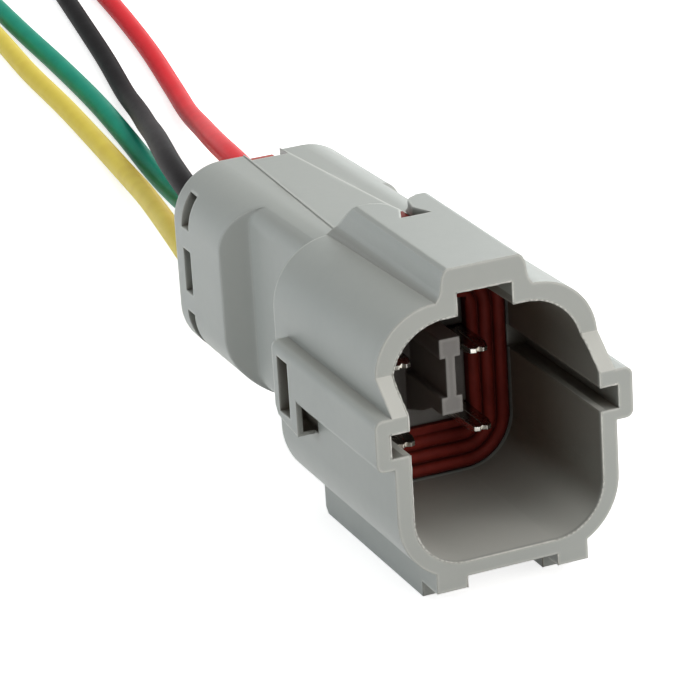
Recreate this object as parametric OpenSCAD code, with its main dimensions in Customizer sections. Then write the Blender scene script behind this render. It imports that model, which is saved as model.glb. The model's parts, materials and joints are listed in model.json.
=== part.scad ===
// Sealed four-way blade connector with a keyed, open-fronted housing and four leads.
// Millimetres. +Z is up, -Y is the mating end, the leads leave towards +Y.
// Origin: under the middle of the housing, on the plane that its two rails stand on.

/* [Overall] */
// Length of the housing, mouth to rear edge
body_l = 58.5; // [56:0.1:62]
// Height of the housing, rails to the roof of the bridge
body_h = 32.75; // [32:0.05:34]
// Slope of the roof, as moulding draft, in degrees
draft = 1.4; // [0:0.1:2]

/* [Hood] */
// Length of the hood that the mating plug enters
hood_l = 28.3; // [27.5:0.1:30]
// Width of the hood over its side walls
hood_w = 23.4; // [22.8:0.1:24.2]
// Height of the hood's floor above the rails' soles
hood_base = 2.8; // [2.4:0.1:3.2]
// Height of the hood's roof above the rails' soles, at its front edge
hood_top = 29.55; // [29:0.05:30]
// Thickness of the hood's side walls and roof
hood_wall = 1.7; // [1.3:0.1:2]
// Thickness of the hood's floor
floor_wall = 1.55; // [1.2:0.05:2]
// Outer radius of the hood's lower corners
hood_r_low = 7; // [6:0.1:7.5]
// Outer radius of the hood's upper corners
hood_r_top = 6.5; // [6:0.1:7]
// Inner radius of the hood's upper corners
cavity_r_top = 5.8; // [5:0.1:6]
// Depth of the hood's cavity, mouth to bulkhead
cavity_l = 24; // [23:0.1:25]
// Distance that the upper lip stands back from the mouth
lip_back = 3.5; // [2:0.1:5]
// Height where the mouth starts to slope back
lip_low = 20.5; // [20:0.1:21]
// Height where the upper lip begins
lip_high = 23.4; // [22:0.1:24.5]

/* [Side guides] */
// Width over both side guides
guide_w = 27; // [26.6:0.1:28]
// Length of the guides
guide_l = 25; // [24:0.1:26]
// Height of the guides' underside
guide_low = 15.3; // [14.8:0.1:15.8]
// Height of a guide, outside
guide_h = 5.2; // [4.8:0.1:5.6]
// Height of the slot inside a guide
guide_slot_h = 2.45; // [2:0.05:2.8]
// Length of the slot inside a guide
guide_slot_l = 20.4; // [16:0.1:20.6]
// Wall left outside the slot
guide_wall = 1.55; // [1.2:0.05:1.6]
// Length of the deeper block at a guide's rear end
heel_l = 5.5; // [5:0.1:6]
// Drop of that block below the guide
heel_drop = 3.2; // [2.5:0.1:3.5]
// Length of the window in the block
heel_window_l = 2.6; // [2:0.1:3]
// Height of the window in the block
heel_window_h = 5.85; // [5:0.05:6.2]

/* [Bridge] */
// Width of the bridge where it stands on the hood
bridge_w = 9.5; // [9:0.1:10]
// Length of the bridge's roof, from the upper lip
bridge_l = 21; // [20:0.1:22]
// Width of the latch tunnel under the bridge
tunnel_w = 5.8; // [5.2:0.1:6.2]
// Thickness of the bridge's roof over the tunnel
bridge_roof = 2.6; // [2.2:0.1:3]
// Width of the notch in the rear of the roof
notch_w = 3.2; // [2.8:0.1:3.6]
// Length of that notch
notch_l = 5.6; // [5:0.1:6]
// How far each rear end of the roof hooks into the notch
notch_hook = 0.95; // [0.5:0.05:1.1]
// How far the notch is off the middle plane
notch_off = 0.2; // [-0.3:0.05:0.3]
// Thickness of the roof beside the notch
notch_roof = 1.25; // [1:0.05:1.5]

/* [Rails] */
// Width of a rail
rail_w = 3.25; // [3:0.05:3.6]
// Gap between the two rails
rail_gap = 9.6; // [9.2:0.1:10]
// Length of a rail behind its raised foot
rail_l = 23.4; // [22:0.1:24.4]
// Height of the raised foot under the mouth
foot_lift = 1.6; // [1.2:0.1:2.2]

/* [Barrel] */
// Width of the barrel
barrel_w = 21; // [20.4:0.1:21.6]
// Height of the barrel's underside above the rails' soles
barrel_base = 7.1; // [6.8:0.1:7.6]
// Step from the hood's roof down to the barrel's
barrel_step = 0.2; // [0.1:0.05:0.5]
// Radius of the barrel's corners
barrel_r = 5.75; // [5:0.05:6]
// Wall around the barrel's rear pocket
barrel_wall = 1.4; // [1.2:0.05:1.6]
// Width of the waist between the hood and the barrel's collar
waist_w = 16; // [15.6:0.1:17]
// Length of the waist, up to the foot of the collar's sloping shoulder
waist_l = 14.9; // [14:0.1:15.2]
// Radius of the waist's corners
waist_r = 2.7; // [2.4:0.05:3]
// Height of the raised spine on the barrel's roof
spine_h = 0.14; // [0.1:0.02:0.4]
// Width of the spine at the hood
spine_w1 = 8.4; // [7.5:0.1:9]
// Width of the spine at the rear
spine_w2 = 4; // [3:0.1:5]

/* [Rear] */
// Depth of the rear pocket that takes the wire seal
pocket_l = 12.5; // [12:0.1:12.6]
// Length of the rim behind the latch windows
rim_l = 2.1; // [1.8:0.1:2.4]
// Length of the latch windows
window_l = 2; // [1.6:0.1:2.2]
// Height of the middle latch window
window_h = 4.85; // [4:0.05:5.2]
// Width of the key notch in the roof's rear edge
key_notch_w = 4.1; // [3.6:0.1:4.6]
// Length of the key notch
key_notch_l = 2.3; // [2:0.1:2.8]
// Width of the wire seal's key
key_w = 2.9; // [2:0.1:3.2]
// Sideways offset of the key
key_off = -0.4; // [-0.5:0.05:0.5]

/* [Contacts] */
// Sideways pitch of the contacts
pitch_x = 8.3; // [8:0.1:8.6]
// Height of the lower row of contacts
row_low = 11; // [10.7:0.1:11.3]
// Height of the upper row of contacts
row_high = 19.3; // [19:0.1:19.6]
// Width of a blade
tab_w = 2.3; // [2:0.05:2.4]
// Thickness of a blade
tab_t = 0.75; // [0.6:0.01:0.8]
// Distance of the blades' tips behind the mouth
tab_tip = 14.2; // [13.5:0.05:16]
// Length of a contact's box section
box_l = 9; // [8:0.1:10]
// Width of a contact's box section
box_w = 2.8; // [2.6:0.1:3]
// Clearance around a contact in its cavity
contact_fit = 0.12; // [0.05:0.01:0.3]

/* [Front holder] */
// Distance of the post's end behind the mouth
post_tip = 12.2; // [11:0.1:14]
// Width of the post's flanges
post_w = 2.2; // [1.8:0.1:2.6]
// Thickness of the post's web
post_web = 1; // [0.8:0.1:1.2]
// Thickness of the holder's plate
plate_t = 3.2; // [2.6:0.1:3.6]
// Clearance between the holder and what is around it
holder_fit = 0.1; // [0.05:0.01:0.2]

/* [Interface seal] */
// Length of the seal from the bulkhead to the tops of its ridges
seal_l = 4.3; // [4:0.05:4.6]
// Radius of a sealing ridge
ridge_r = 0.7; // [0.5:0.05:0.75]
// Pitch of the sealing ridges
ridge_pitch = 1.55; // [1.5:0.05:1.6]
// Gap between the seal and the hood's cavity
seal_fit = 0.1; // [0.05:0.01:0.2]

/* [Wire seal and cover] */
// Length of the wire seal
mat_l = 6.8; // [6:0.1:7]
// Height of the wire seal's ribs
rib_h = 0.35; // [0.2:0.05:0.4]
// Thickness of the rear cover
cover_t = 3.4; // [3:0.1:3.6]
// Clearance of the seal and the cover in the pocket
pocket_fit = 0.1; // [0.05:0.01:0.2]
// Clearance of a lead in the rear cover
lead_fit = 0.25; // [0.1:0.05:0.4]

/* [Leads] */
// Outside diameter of a lead
lead_d = 2.7; // [2.4:0.05:2.8]
// Diameter of the copper inside a lead
core_d = 1.2; // [1:0.05:1.4]
// Length of bare copper at a lead's free end
bare_l = 6.5; // [4:0.5:8]

/* [Hidden] */
$fn = 64;
e = 0.01;                                // overlap that joins two solids
big = 60;                                // reach of a cutting block

hw = hood_w / 2;
split = (guide_low + guide_low + guide_h) / 2;   // height where straight and sloping halves meet
slope_dy = lip_back;                     // the roof's slope starts at the upper lip
slot_z = guide_low + 1.18 + guide_slot_h / 2;    // middle of the guide slots
in_hw = hw - hood_wall;                  // half width of the hood's cavity
in_base = hood_base + floor_wall;
in_top = hood_top - hood_wall;
in_r_low = hood_r_low - hood_wall;
in_r_top = cavity_r_top;
bhw = barrel_w / 2;
barrel_top = hood_top - barrel_step;
pocket_hw = bhw - barrel_wall;
waist_hw = waist_w / 2;
waist_end = hood_l + waist_l;
pocket_y = body_l - pocket_l;
tunnel_top = body_h - bridge_roof;
tunnel_end = cavity_l + 4;
bridge_end = lip_back + bridge_l;        // where the roof ends and the rear ramp starts
rail_x = rail_gap / 2;
rail_top = hood_base + floor_wall * 0.9;
ring_hw = in_hw - seal_fit;              // outline of the interface seal
ring_base = in_base + seal_fit;
ring_top = in_top - seal_fit;
ring_in_hw = pitch_x / 2 + tab_w / 2 + 0.15;     // window inside the interface seal
ring_in_low = row_low - 1.2;
ring_in_high = row_high + 3.6;
seal_front = cavity_l - seal_l;
spigot_l = 3;                            // of the front holder, into the bulkhead
mat_y = pocket_y + 0.9;
crimp_y = mat_y - 0.4 - 8.5;             // start of the conductor crimp, 8.5 long and just short of the mat seal
lead_y = crimp_y + 6.5;                  // where a lead's insulation starts
cover_y = mat_y + mat_l + 0.2;
window_y = body_l - rim_l - window_l;
lead_r = lead_d / 2;

// Routes of the leads, in the part's own frame: [x, y, z], from the crimp to the free end.
start_y = lead_y - body_l / 2;
exit_y = body_l / 2 + 1.75;
red_route = [[pitch_x / 2, start_y, row_high], [pitch_x / 2, exit_y, row_high],
    [5.5, 45, 18.9], [8.5, 60, 16.9], [12.5, 75, 13.6], [17, 90, 9.8], [21.5, 105, 6.1],
    [25.7, 121, 3], [29.6, 137, 1.5], [33.1, 155, 1.4], [36.1, 174, 1.4], [38.5, 192, 1.4]];
black_route = [[-pitch_x / 2, start_y, row_high], [-pitch_x / 2, exit_y, row_high],
    [-2.5, 45, 19.2], [0.8, 60, 17.6], [5.1, 75, 14.8], [9.7, 90, 11.3], [14.2, 105, 7.6],
    [18.8, 121, 4.3], [22.7, 137, 1.9], [26.5, 155, 1.4], [29.9, 174, 1.4], [33.4, 194, 1.4]];
yellow_route = [[-pitch_x / 2, start_y, row_low], [-pitch_x / 2, exit_y, row_low],
    [-2.5, 45, 10.5], [0.7, 60, 8.8], [4.3, 75, 6.4], [7.7, 90, 4.1], [10.5, 105, 2.2],
    [12.6, 121, 1.4], [14, 137, 1.4], [15.2, 155, 1.4], [16.7, 170, 1.4], [18, 184, 1.4]];
green_route = [[pitch_x / 2, start_y, row_low], [pitch_x / 2, exit_y, row_low],
    [5.1, 45, 10.2], [7.1, 60, 8.1], [9.5, 75, 5.4], [12, 90, 3], [14.4, 105, 1.6],
    [16.6, 121, 1.4], [18.4, 137, 1.4], [19.8, 155, 1.4], [21, 175, 1.4], [22.6, 197, 1.4]];

// ---------------------------------------------------------------- helpers

// Runs a section drawn in X and Z from y0 to y1, counted from the mouth.
module along_y(y0, y1) {
    translate([0, y1, 0]) rotate([90, 0, 0]) linear_extrude(y1 - y0) children();
}

// Runs a section drawn in Y and Z from x0 to x1.
module along_x(x0, x1) {
    translate([x0, 0, 0]) rotate([90, 0, 90]) linear_extrude(x1 - x0) children();
}

// Tips what is inside it down towards the rear, about the roof's front edge.
module sloped() {
    translate([0, slope_dy, hood_top]) rotate([-draft, 0, 0])
        translate([0, -slope_dy, -hood_top]) children();
}

// Section with round corners of its own at the bottom and at the top.
module arch(w, z0, z1, r0, r1) {
    translate([-w, z0 + r0]) square([2 * w, z1 - r1 - z0 - r0]);
    translate([-w + r0, z0]) square([2 * (w - r0), r0 + e]);
    translate([-w + r1, z1 - r1 - e]) square([2 * (w - r1), r1 + e]);
    for (s = [-1, 1]) {
        translate([s * (w - r0), z0 + r0]) circle(r0);
        translate([s * (w - r1), z1 - r1]) circle(r1);
    }
}

// A straight lower half and an upper half with the roof's slope, as one solid.
module drafted(w, z0, z1, r0, r1, y0, y1) {
    intersection() {
        along_y(y0, y1) arch(w, z0, z1 + 4, r0, r1);
        translate([-big / 2, y0 - 1, z0 - 1]) cube([big, y1 - y0 + 2, split - z0 + 1 + e]);
    }
    intersection() {
        sloped() along_y(y0 - 2, y1 + 2) arch(w, z0 - 4, z1, r0, r1);
        translate([-big / 2, y0, split]) cube([big, y1 - y0, big]);
    }
}

module both_sides() {
    children();
    mirror([1, 0, 0]) children();
}

module at_contacts() {
    for (x = [-pitch_x / 2, pitch_x / 2], z = [row_low, row_high]) translate([x, 0, z]) children();
}

// Everything below is drawn with y counted from the mouth, and set in the part's frame here.
module seated() {
    translate([0, -body_l / 2, 0]) children();
}

// ---------------------------------------------------------------- housing

module guide_outer() {
    round_r = 0.8;
    x0 = hw - 0.6;
    w = guide_w / 2 - x0;
    along_y(0, guide_l) {
        translate([x0, guide_low]) square([w - round_r, guide_h]);
        translate([x0, guide_low + round_r]) square([w, guide_h - 2 * round_r]);
        for (z = [guide_low + round_r, guide_low + guide_h - round_r])
            translate([x0 + w - round_r, z]) circle(round_r);
    }
    // heel: the deeper block at the rear end, its underside rising a little to the rear
    heel = guide_low - heel_drop;
    along_x(x0, guide_w / 2)
        polygon([[guide_l - heel_l, heel], [guide_l - heel_l / 2, heel + 0.3], [guide_l - 0.6, heel + 0.7],
                 [guide_l, heel + 1.6], [guide_l, guide_low + 2], [guide_l - heel_l, guide_low + 2]]);
}

module guide_cuts() {
    slot_x = guide_w / 2 - guide_wall;
    translate([in_hw - 1, -1, slot_z - guide_slot_h / 2]) cube([slot_x - in_hw + 1, guide_slot_l + 1, guide_slot_h]);
    // window in the heel's side, and the core hole that meets it from the front
    translate([hw - 1.2, guide_l - heel_window_l - 1.2, guide_low - heel_drop + 1.3])
        cube([4, heel_window_l, heel_window_h]);
    translate([hw - 0.4, guide_l - heel_l - 1, guide_low - heel_drop + 0.4])
        cube([guide_w / 2 - hw - 0.2, heel_l - 1.4, heel_drop - 0.3]);
}

module bridge_section() {
    s = bridge_w / 2;
    polygon([[-s - 0.75, hood_top - 0.9], [-s - 0.4, hood_top - 0.05], [-s, hood_top + 0.5], [-s + 0.15, hood_top + 0.95],
             [-s + 0.35, body_h - 0.95], [-s + 0.65, body_h - 0.25], [-s + 1.05, body_h],
             [s - 1.05, body_h], [s - 0.65, body_h - 0.25], [s - 0.35, body_h - 0.95],
             [s - 0.15, hood_top + 0.95], [s, hood_top + 0.5], [s + 0.4, hood_top - 0.05], [s + 0.75, hood_top - 0.9]]);
}

module bridge() {
    ramp = 4.2;
    difference() {
        intersection() {
            along_y(lip_back - 2, hood_l + 2) bridge_section();
            translate([-big / 2, lip_back, hood_top - 3]) cube([big, hood_l + 0.4 - lip_back, big]);
        }
        // ramp down to the barrel
        along_x(-big / 2, big / 2)
            polygon([[bridge_end, body_h],
                     [bridge_end + ramp, barrel_top - (bridge_end + ramp - lip_back) * tan(draft)],
                     [bridge_end + ramp + 5, barrel_top - 2], [bridge_end + ramp + 5, big],
                     [bridge_end, big]]);
    }
}

module bridge_cuts() {
    tw = tunnel_w / 2;
    translate([-tw, -1, in_top - 3]) cube([tunnel_w, tunnel_end + 1, tunnel_top - in_top + 3]);
    // higher roof at the rear, beside the notch
    translate([-tw, bridge_end - notch_l - 2.3, in_top])
        cube([tunnel_w, notch_l + 1.8, body_h - notch_roof - in_top]);
    // notch between the hooked ends of the roof, then open to the rear above the barrel
    translate([notch_off, bridge_end - notch_l, in_top]) linear_extrude(big / 4) notch_plan(4);
    translate([notch_off, bridge_end - notch_l, hood_top - 0.3]) linear_extrude(big / 4) notch_plan(6);
}

module notch_plan(points) {
    w = notch_w / 2;
    side = [[w, 0], [w - notch_hook, notch_l * 0.42], [w - notch_hook * 0.6, notch_l * 0.77],
            [w - notch_hook * 0.1, notch_l * 0.89], [w + notch_hook * 0.9, notch_l * 0.985],
            [w + notch_hook * 0.9, big / 4]];
    polygon(concat([for (i = [0:points - 1]) side[i]], [for (i = [points - 1:-1:0]) [-side[i][0], side[i][1]]]));
}

module rails() {
    for (s = [-1, 1]) {
        x0 = s > 0 ? rail_x : -rail_x - rail_w;
        along_x(x0, x0 + rail_w)
            polygon([[0, foot_lift], [lip_back, foot_lift], [lip_back, 0], [lip_back + rail_l - 0.6, 0],
                     [lip_back + rail_l, 0.6], [lip_back + rail_l, rail_top], [0, rail_top]]);
    }
}

// Barrel with its waist; the collar's shoulder slopes at 45 degrees down to the waist.
module barrel() {
    reach = bhw + 1 - waist_hw;
    difference() {
        drafted(bhw, barrel_base, barrel_top, barrel_r, barrel_r, hood_l - 1, body_l);
        both_sides() difference() {
            translate([0, 0, barrel_base - 1]) linear_extrude(big / 2)
                polygon([[waist_hw - waist_r - 0.3, hood_l - 2], [waist_hw + reach, hood_l - 2],
                         [waist_hw + reach, waist_end + reach], [waist_hw - waist_r - 0.3, waist_end - waist_r - 0.3]]);
            drafted(waist_hw, barrel_base - 0.02, barrel_top + 0.02, waist_r, waist_r, hood_l - 3, waist_end + 3);
        }
    }
}

module latch_windows() {
    depth = 4.2;
    mid = (row_low + row_high) / 2 + 2.4;
    for (w = [[mid - window_h / 2, window_h, 3], [mid + window_h / 2 + 2.4, 3.6, depth],
              [mid - window_h / 2 - 6.6, 4.4, depth]])
        translate([-bhw - 1, window_y, w[0]]) cube([w[2], window_l, w[1]]);
}

module pocket(fit, y0, y1) {
    drafted(pocket_hw - fit, barrel_base + barrel_wall + fit, barrel_top - barrel_wall - fit,
            barrel_r - barrel_wall, barrel_r - barrel_wall, y0, y1);
}

module housing() {
    color([0.66, 0.68, 0.66]) seated() difference() {
        union() {
            drafted(hw, hood_base, hood_top, hood_r_low, hood_r_top, 0, hood_l);
            barrel();
            both_sides() guide_outer();
            bridge();
            rails();
            // spine on the barrel's roof
            intersection() {
                sloped() translate([0, 0, barrel_top - 1]) linear_extrude(1 + spine_h)
                    polygon([[-spine_w1 / 2, hood_l - 1], [-spine_w2 / 2, body_l + 2],
                             [spine_w2 / 2, body_l + 2], [spine_w1 / 2, hood_l - 1]]);
                translate([-big / 2, hood_l - 0.5, 0]) cube([big, body_l - hood_l + 0.5, big]);
            }
        }
        // cavity, and the set-back upper lip
        drafted(in_hw, in_base, in_top, in_r_low, in_r_top, -1, cavity_l);
        along_x(-big / 2, big / 2)
            polygon([[-1, lip_low - (lip_high - lip_low) / lip_back], [0, lip_low], [lip_back, lip_high],
                     [lip_back, big], [-1, big]]);
        both_sides() guide_cuts();
        bridge_cuts();
        // rear pocket, its latch windows and the key notch
        pocket(0, pocket_y, body_l + 1);
        both_sides() latch_windows();
        translate([-key_notch_w / 2, body_l - key_notch_l, row_high + 4]) cube([key_notch_w, key_notch_l + 1, 10]);
        // contact cavities, narrow in the bulkhead
        at_contacts() {
            f = contact_fit;
            translate([-tab_w / 2 - f, cavity_l - 1, -tab_t / 2 - f]) cube([tab_w + 2 * f, 4, tab_t + 2 * f]);
            translate([-box_w / 2 - f, cavity_l + 2.5 - f, -box_w / 2 - f])
                cube([box_w + 2 * f, box_l + 1 + 2 * f, box_w + 2 * f]);
            translate([0, cavity_l + 2.5 + box_l, 0]) rotate([-90, 0, 0])
                cylinder(r = lead_r + 0.5, h = pocket_y - cavity_l - box_l - 2.4);
        }
        // socket for the front holder's spigot
        translate([-post_w / 2 - holder_fit, cavity_l - 1, row_low + 3.2 - holder_fit])
            cube([post_w + 2 * holder_fit, 1 + spigot_l + holder_fit, 5 + 2 * holder_fit]);
    }
}

// ---------------------------------------------------------------- interface seal

// One round sealing ridge that follows the seal's outline, at a distance in from it.
module ridge(inset) {
    w = ring_hw - inset;
    z0 = ring_base + inset;
    z1 = ring_top - inset - (seal_front + ridge_r - lip_back) * tan(draft);
    r0 = max(in_r_low - seal_fit - inset, 0.9);
    r1 = max(in_r_top - seal_fit - inset, 0.9);
    y = seal_front + ridge_r;
    for (s = [-1, 1]) {
        translate([s * w, y, z0 + r0]) cylinder(r = ridge_r, h = z1 - r1 - z0 - r0);
        translate([s * (w - r0), y, z0 + r0]) rotate([90, 0, 0]) rotate([0, 0, s > 0 ? 270 : 180])
            rotate_extrude(angle = 90) translate([r0, 0]) circle(ridge_r, $fn = 32);
        translate([s * (w - r1), y, z1 - r1]) rotate([90, 0, 0]) rotate([0, 0, s > 0 ? 0 : 90])
            rotate_extrude(angle = 90) translate([r1, 0]) circle(ridge_r, $fn = 32);
    }
    translate([-w + r0, y, z0]) rotate([0, 90, 0]) cylinder(r = ridge_r, h = 2 * (w - r0));
    translate([-w + r1, y, z1]) rotate([0, 90, 0]) cylinder(r = ridge_r, h = 2 * (w - r1));
}

module interface_seal() {
    key_hw = tunnel_w / 2 - 3 * seal_fit;
    color([0.45, 0.1, 0.08]) seated() difference() {
        union() {
            drafted(ring_hw, ring_base, ring_top, in_r_low - seal_fit, in_r_top - seal_fit,
                    seal_front + ridge_r, cavity_l);
            for (i = [0:2]) ridge(ridge_r + 0.03 + i * ridge_pitch);
            // tongue that locks the seal in the tunnel
            translate([-key_hw, seal_front + 0.2, ring_top - 2.5])
                cube([2 * key_hw, tunnel_end - seal_front - 0.5, tunnel_top - ring_top + 2.5 - seal_fit]);
        }
        translate([-ring_in_hw, seal_front - 1, ring_in_low])
            cube([2 * ring_in_hw, seal_l + 2, ring_in_high - ring_in_low]);
    }
}

// ---------------------------------------------------------------- front holder

module front_holder() {
    f = holder_fit;
    plate_y = cavity_l - plate_t;
    web_low = row_low + 5;
    flange_high = row_high + 0.8;
    color([0.62, 0.63, 0.62]) seated() difference() {
        union() {
            translate([-ring_in_hw + f, plate_y, ring_in_low + f])
                cube([2 * (ring_in_hw - f), plate_t, ring_in_high - ring_in_low - 2 * f]);
            // post of I section
            translate([-post_w / 2, post_tip, flange_high]) cube([post_w, plate_y - post_tip + e, 2]);
            translate([-post_w / 2, post_tip, web_low - 1.8]) cube([post_w, plate_y - post_tip + e, 1.8]);
            translate([-post_web / 2, post_tip, web_low - e])
                cube([post_web, plate_y - post_tip + e, flange_high - web_low + 2 * e]);
            // gusset under the post
            along_x(-post_w / 2, post_w / 2)
                polygon([[post_tip + 2.3, web_low - 1.7], [plate_y + e, web_low - 1.7],
                         [plate_y + e, web_low - 4.1], [post_tip + 4.8, web_low - 2.9]]);
            // spigot pressed into the bulkhead
            translate([-post_w / 2, cavity_l - e, row_low + 3.2]) cube([post_w, spigot_l, 5]);
        }
        at_contacts() translate([-tab_w / 2 - contact_fit, plate_y - 1, -tab_t / 2 - contact_fit])
            cube([tab_w + 2 * contact_fit, plate_t + 2, tab_t + 2 * contact_fit]);
    }
}

// ---------------------------------------------------------------- wire seal and rear cover

module wire_seal() {
    ribs = 3;
    step = mat_l / (2 * ribs + 1);
    key_y = body_l - key_notch_l;
    color([0.72, 0.25, 0.16]) seated() difference() {
        union() {
            pocket(pocket_fit + rib_h, mat_y, mat_y + mat_l);
            for (i = [0:ribs - 1]) pocket(pocket_fit, mat_y + (2 * i + 1) * step, mat_y + (2 * i + 2) * step);
            // key that shows in the notch of the roof
            sloped() translate([key_off - key_w / 2, mat_y + mat_l - 1, barrel_top - barrel_wall - 1.5])
                cube([key_w, body_l - mat_y - mat_l + 0.7, 1.4]);
            sloped() translate([key_off - key_w / 2, key_y + 0.1, barrel_top - barrel_wall - 1.5])
                cube([key_w, key_notch_l - 0.4, barrel_wall + 1.2]);
        }
        at_contacts() translate([0, mat_y - 1, 0]) rotate([-90, 0, 0]) cylinder(r = lead_r, h = mat_l + 2);
    }
}

module rear_cover() {
    fit = 2 * pocket_fit;
    mid = (row_low + row_high) / 2 + 2.4;
    color([0.6, 0.62, 0.6]) seated() difference() {
        union() {
            pocket(fit, cover_y, cover_y + cover_t);
            // latch lugs in the middle windows
            for (s = [-1, 1])
                translate([s > 0 ? pocket_hw - 1 : -pocket_hw - 0.5, window_y + 0.15, mid - window_h / 2 + 0.2])
                cube([1.5, window_l - 0.3, window_h - 0.4]);
        }
        at_contacts() translate([0, cover_y - 1, 0]) rotate([-90, 0, 0])
            cylinder(r = lead_r + lead_fit, h = cover_t + 2);
        translate([key_off - key_w / 2 - 0.2, cover_y - 1, row_high + 5.3]) cube([key_w + 0.4, cover_t + 2, 10]);
    }
}

// ---------------------------------------------------------------- contacts

// Folded blade, box section, conductor crimp and insulation crimp, drawn along +Y from the tip.
module terminal() {
    nose = 1.3;
    w = tab_w / 2;
    blade_l = cavity_l + 2.5 - tab_tip;
    box_y = cavity_l + 2.5;
    color([0.8, 0.78, 0.73]) seated() difference() {
        union() {
            intersection() {
                translate([0, tab_tip, -tab_t]) linear_extrude(2 * tab_t)
                    polygon([[-w, blade_l + e], [-w, nose], [-w * 0.8, 0.25], [-w * 0.35, 0], [0, 0.35],
                             [w * 0.35, 0], [w * 0.8, 0.25], [w, nose], [w, blade_l + e]]);
                translate([0, tab_tip, 0]) along_x(-w - 1, w + 1)
                    polygon([[0, -tab_t * 0.28], [nose, -tab_t / 2], [blade_l + e, -tab_t / 2],
                             [blade_l + e, tab_t / 2], [nose, tab_t / 2], [0, tab_t * 0.28]]);
            }
            translate([-box_w / 2, box_y, -box_w / 2]) cube([box_w, box_l, box_w]);
            translate([-box_w * 0.4, box_y + 2, -box_w / 2]) cube([box_w * 0.8, crimp_y + e - box_y - 2, 1]);
            // crimps
            translate([0, crimp_y, 0]) rotate([-90, 0, 0]) cylinder(r = core_d / 2 + 0.55, h = 4.5);
            translate([-0.8, crimp_y + 4.4, -box_w / 2]) cube([1.6, 1.2, 1]);
            translate([0, crimp_y + 5.5, 0]) rotate([-90, 0, 0]) cylinder(r = lead_r + 0.3, h = 3);
        }
        // seam of the folded blade
        translate([-0.06, tab_tip - 1, tab_t / 2 - 0.1]) cube([0.12, 9, 1]);
        // bore of the box section, and its lance window
        translate([-box_w / 2 + 0.4, box_y + 1.5, -box_w / 2 + 0.4]) cube([box_w - 0.8, box_l, box_w - 0.8]);
        translate([-0.6, box_y + 3, 0]) cube([1.2, 4, box_w]);
        translate([0, crimp_y - 1, 0]) rotate([-90, 0, 0]) cylinder(r = core_d / 2, h = 8);
        translate([0, lead_y, 0]) rotate([-90, 0, 0]) cylinder(r = lead_r, h = 4);
    }
}

module terminal_upper_left() translate([-pitch_x / 2, 0, row_high]) terminal();
module terminal_upper_right() translate([pitch_x / 2, 0, row_high]) terminal();
module terminal_lower_left() translate([-pitch_x / 2, 0, row_low]) terminal();
module terminal_lower_right() translate([pitch_x / 2, 0, row_low]) terminal();

// ---------------------------------------------------------------- leads

// Smooth curve through a route's points, as [point, direction] at even steps.
function route_at(p, i, t) =
    let (n = len(p) - 1, a = p[max(i - 1, 0)], b = p[i], c = p[i + 1], d = p[min(i + 2, n)],
         m0 = (c - a) / 2, m1 = (d - b) / 2)
    (2 * pow(t, 3) - 3 * t * t + 1) * b + (pow(t, 3) - 2 * t * t + t) * m0
    + (3 * t * t - 2 * pow(t, 3)) * c + (pow(t, 3) - t * t) * m1;
function route_points(p, per) = concat(
    [for (i = [0:len(p) - 2], k = [0:per - 1]) route_at(p, i, k / per)], [p[len(p) - 1]]);
function unit(v) = v / norm(v);
function heading(q, i) = unit(q[min(i + 1, len(q) - 1)] - q[max(i - 1, 0)]);
function ring_at(c, dir, r, sides) =
    let (u = unit(cross([0, 0, 1], dir)), v = cross(dir, u))
    [for (k = [0:sides - 1]) c + r * (cos(360 * (k + 0.5) / sides) * u + sin(360 * (k + 0.5) / sides) * v)];

module tube(p, per = 2, sides = 8) {
    q = route_points(p, per);
    n = len(q);
    // the two ends are cut square to the route
    dirs = [for (i = [0:n - 1]) i == 0 ? [0, 1, 0] : heading(q, i)];
    points = [for (i = [0:n - 1]) each ring_at(q[i], dirs[i], lead_r, sides)];
    sides_faces = [for (i = [0:n - 2], k = [0:sides - 1])
        let (a = i * sides + k, b = i * sides + (k + 1) % sides) each [[a, b + sides, b], [a, a + sides, b + sides]]];
    polyhedron(points, concat([[for (k = [0:sides - 1]) k]], sides_faces,
        [[for (k = [sides - 1:-1:0]) (n - 1) * sides + k]]));
}

// Stripped copper: inside the crimp at one end, bare at the free end.
module core(p) {
    q = route_points(p, 2);
    last = q[len(q) - 1];
    d = heading(q, len(q) - 1);
    color([0.8, 0.5, 0.3]) {
        translate([p[0][0], p[0][1] - 5, p[0][2]]) rotate([-90, 0, 0]) cylinder(r = core_d / 2, h = 5);
        translate(last) rotate([0, acos(d[2]), atan2(d[1], d[0])]) cylinder(r = core_d / 2, h = bare_l);
    }
}

module lead_red() color([0.88, 0.2, 0.22]) tube(red_route);
module lead_black() color([0.15, 0.14, 0.14]) tube(black_route);
module lead_yellow() color([0.88, 0.76, 0.28]) tube(yellow_route);
module lead_green() color([0.05, 0.5, 0.4]) tube(green_route);
module core_red() core(red_route);
module core_black() core(black_route);
module core_yellow() core(yellow_route);
module core_green() core(green_route);

housing();
interface_seal();
front_holder();
wire_seal();
rear_cover();
terminal_upper_left();
terminal_upper_right();
terminal_lower_left();
terminal_lower_right();
lead_black();
lead_red();
lead_yellow();
lead_green();
core_black();
core_red();
core_yellow();
core_green();
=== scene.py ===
"""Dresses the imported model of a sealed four-way automotive connector with its four leads."""

from __future__ import annotations

import json
import logging
import math
from dataclasses import dataclass, field
from enum import Enum
from typing import Any, Union

import bmesh
import bpy
from mathutils import Matrix, Vector, noise

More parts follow.
